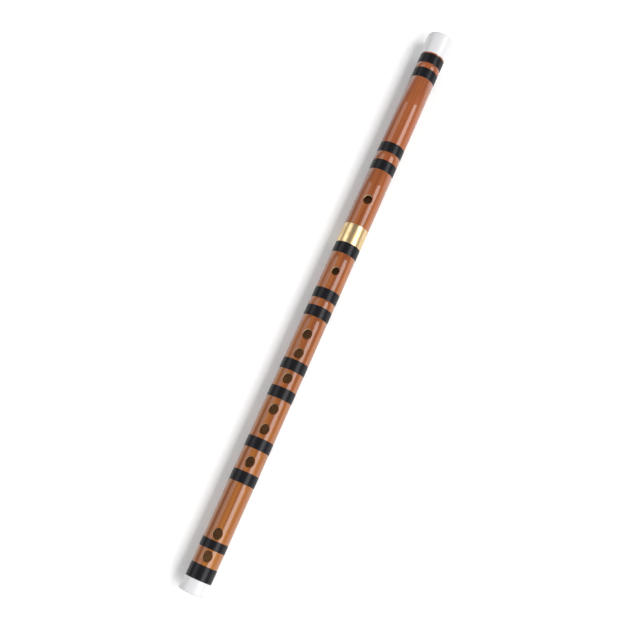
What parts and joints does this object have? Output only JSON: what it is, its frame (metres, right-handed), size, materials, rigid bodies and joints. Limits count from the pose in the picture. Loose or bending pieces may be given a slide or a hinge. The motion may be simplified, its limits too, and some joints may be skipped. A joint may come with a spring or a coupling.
{
  "type": "dizi",
  "caption": "Bamboo transverse flute in two sections, with a sliding brass tuning joint, black lacquered thread bindings, white end rings and a cork stopper.",
  "frame": {"origin": "on the axis of the bore, half way along the flute", "axes": "+X along the bore from the head to the foot, +Z out through the blow hole and the finger holes"},
  "size_m": [0.5034, 0.0232, 0.0232],
  "materials": {
    "bamboo": "glossy lacquer over reddish brown bamboo",
    "lacquered_thread": "black thread under clear lacquer",
    "brass": "polished",
    "white_resin": "satin white",
    "cork": "bare cork"
  },
  "bodies": {
    "body": {"body_tube": "bamboo", "joint_socket": "brass", "foot_ring": "white_resin", "binding_05": "lacquered_thread", "binding_06": "lacquered_thread", "binding_07": "lacquered_thread", "binding_08": "lacquered_thread", "binding_09": "lacquered_thread", "binding_10": "lacquered_thread", "binding_11": "lacquered_thread", "binding_12": "lacquered_thread", "binding_13": "lacquered_thread"},
    "tenon": {"joint_tenon": "brass"},
    "head": {"head_tube": "bamboo", "head_ring": "white_resin", "binding_01": "lacquered_thread", "binding_02": "lacquered_thread", "binding_03": "lacquered_thread", "binding_04": "lacquered_thread"},
    "cork": {"stopper": "cork"}
  },
  "joints": [
    {"name": "tuning_slide", "type": "slide", "parent": "body", "child": "tenon", "axis": [-1, 0, 0], "range_m": [0, 0.022]},
    {"name": "head_turn", "type": "hinge", "parent": "tenon", "child": "head", "pos_m": [-0.06375, 0, 0], "axis": [1, 0, 0], "continuous": true},
    {"name": "stopper_slide", "type": "slide", "parent": "head", "child": "cork", "axis": [1, 0, 0], "range_m": [-0.004, 0.0018]}
  ]
}
